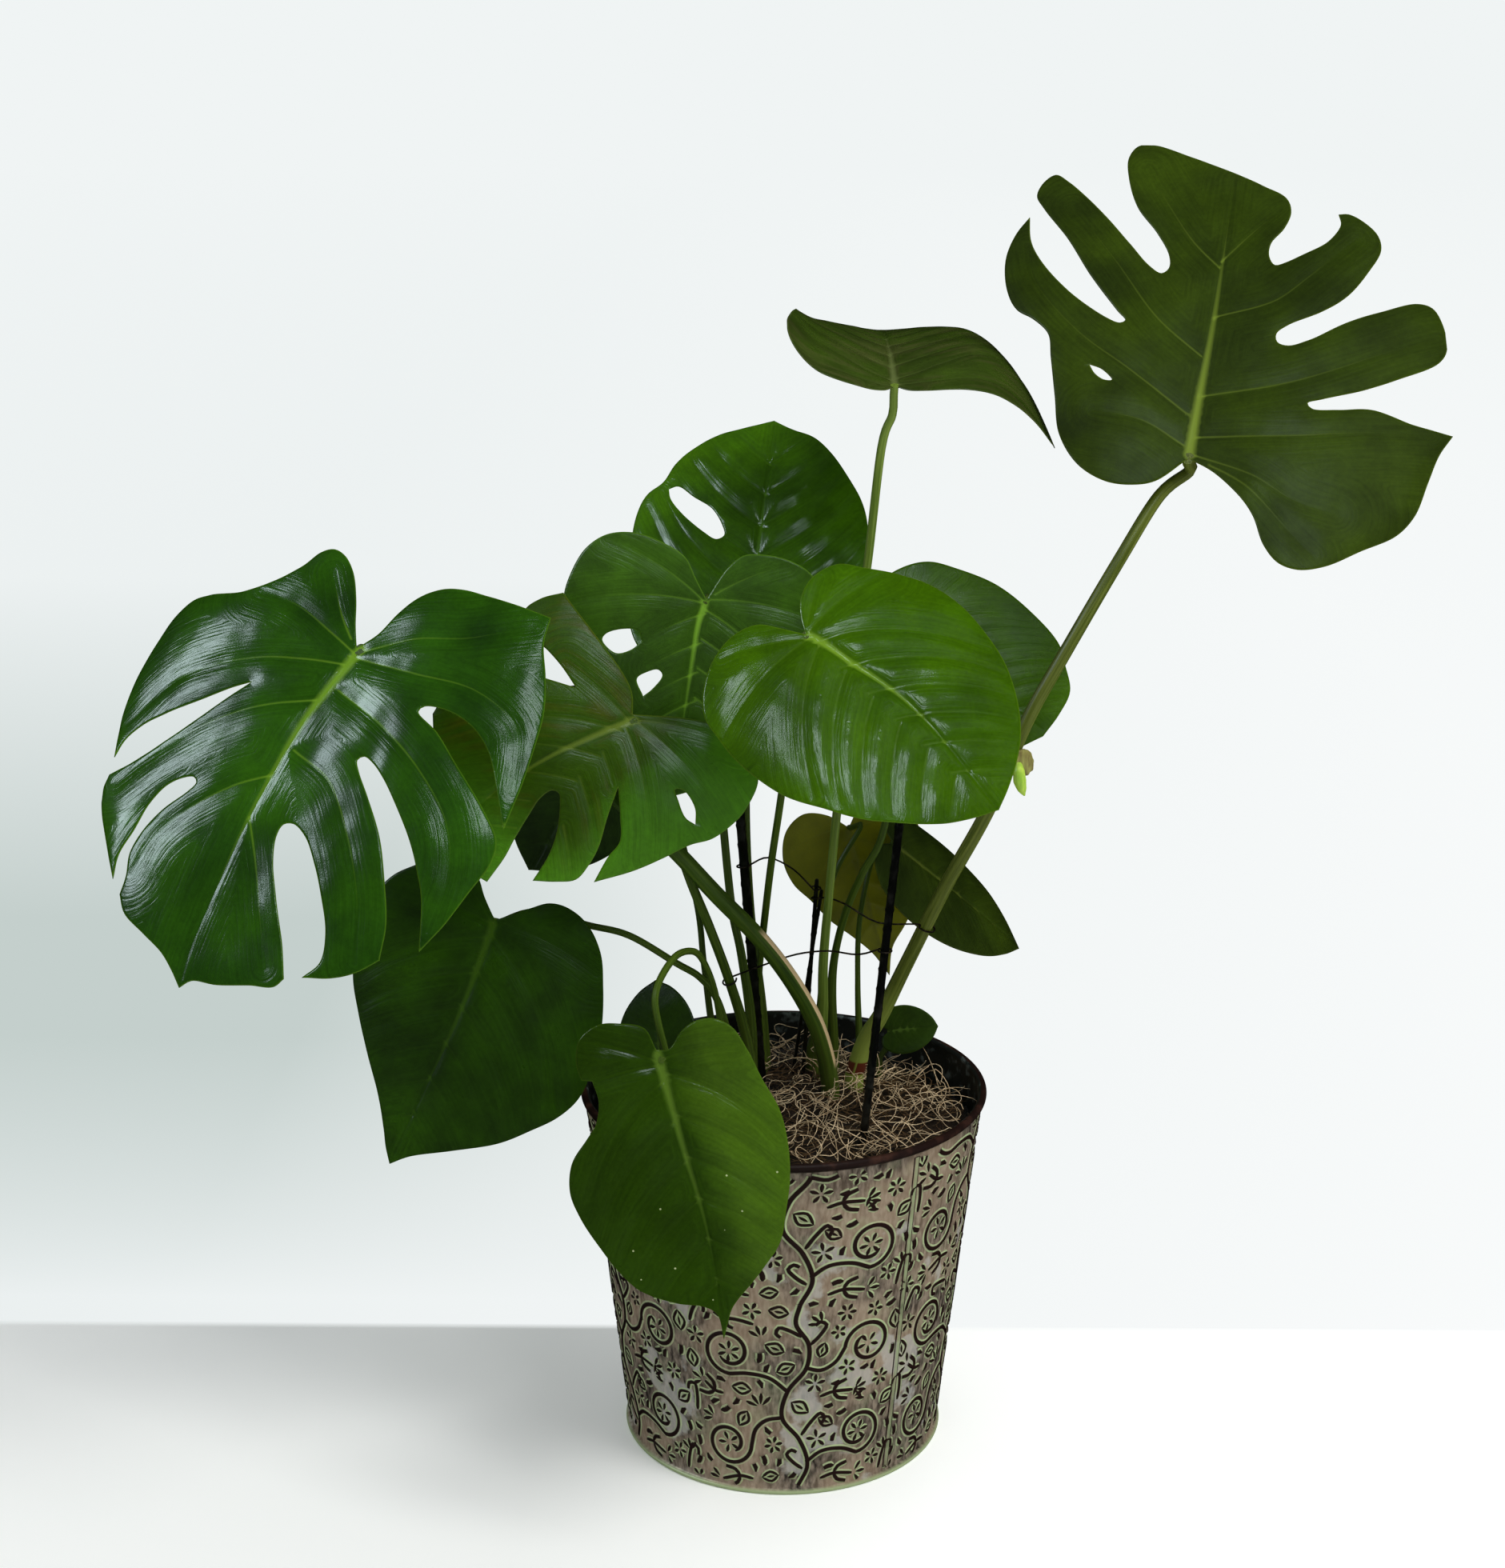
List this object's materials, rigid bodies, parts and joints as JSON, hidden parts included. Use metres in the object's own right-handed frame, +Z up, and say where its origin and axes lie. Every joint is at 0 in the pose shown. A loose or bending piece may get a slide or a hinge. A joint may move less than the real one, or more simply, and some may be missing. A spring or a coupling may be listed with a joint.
{
  "type": "potted plant",
  "caption": "Monstera with split and whole heart-shaped leaves on long arching stems, staked and tied with wire, in a tapered scroll-patterned metal pot with dry moss.",
  "frame": {"origin": "middle of the pot's base, on the surface it stands on", "axes": "+Z up along the pot's axis, -Y towards the front of the plant, +X to the viewer's right"},
  "size_m": [0.8008, 0.4046, 0.8151],
  "materials": {
    "pot": "satin antiqued",
    "soil": "matte",
    "moss": "matte",
    "stem": "satin",
    "stake": "satin",
    "wire": "satin",
    "sprout": "matte",
    "leaf_upper_right": "satin",
    "leaf_top": "satin",
    "leaf_back": "satin",
    "leaf_middle": "satin",
    "leaf_left": "satin",
    "leaf_brown_green": "satin",
    "leaf_bright": "satin",
    "leaf_behind_bright": "satin",
    "leaf_lower_left": "satin",
    "leaf_over_pot": "satin",
    "leaf_backlit": "satin",
    "leaf_dark_right": "satin",
    "leaf_small_left": "satin",
    "leaf_small_right": "satin",
    "leaf_shaded": "satin"
  },
  "bodies": {
    "root": {"pot": "pot", "soil": "soil", "moss": "moss", "leaf_upper_right": "leaf_upper_right", "stem_upper_right": "stem", "leaf_top": "leaf_top", "stem_top": "stem", "leaf_back": "leaf_back", "stem_back": "stem", "leaf_middle": "leaf_middle", "stem_middle": "stem", "leaf_left": "leaf_left", "stem_left": "stem", "leaf_brown_green": "leaf_brown_green", "stem_brown_green": "stem", "leaf_bright": "leaf_bright", "stem_bright": "stem", "leaf_behind_bright": "leaf_behind_bright", "stem_behind_bright": "stem", "leaf_lower_left": "leaf_lower_left", "stem_lower_left": "stem", "leaf_over_pot": "leaf_over_pot", "stem_over_pot": "stem", "leaf_backlit": "leaf_backlit", "stem_backlit": "stem", "leaf_dark_right": "leaf_dark_right", "stem_dark_right": "stem", "leaf_small_left": "leaf_small_left", "stem_small_left": "stem", "leaf_small_right": "leaf_small_right", "stem_small_right": "stem", "leaf_shaded": "leaf_shaded", "stem_shaded": "stem", "stake_left": "stake", "stake_front": "stake", "stake_thin": "stake", "stake_thin_back": "stake", "tie_left": "wire", "tie_right": "wire", "tie_low": "wire", "sprout": "sprout"}
  },
  "joints": []
}
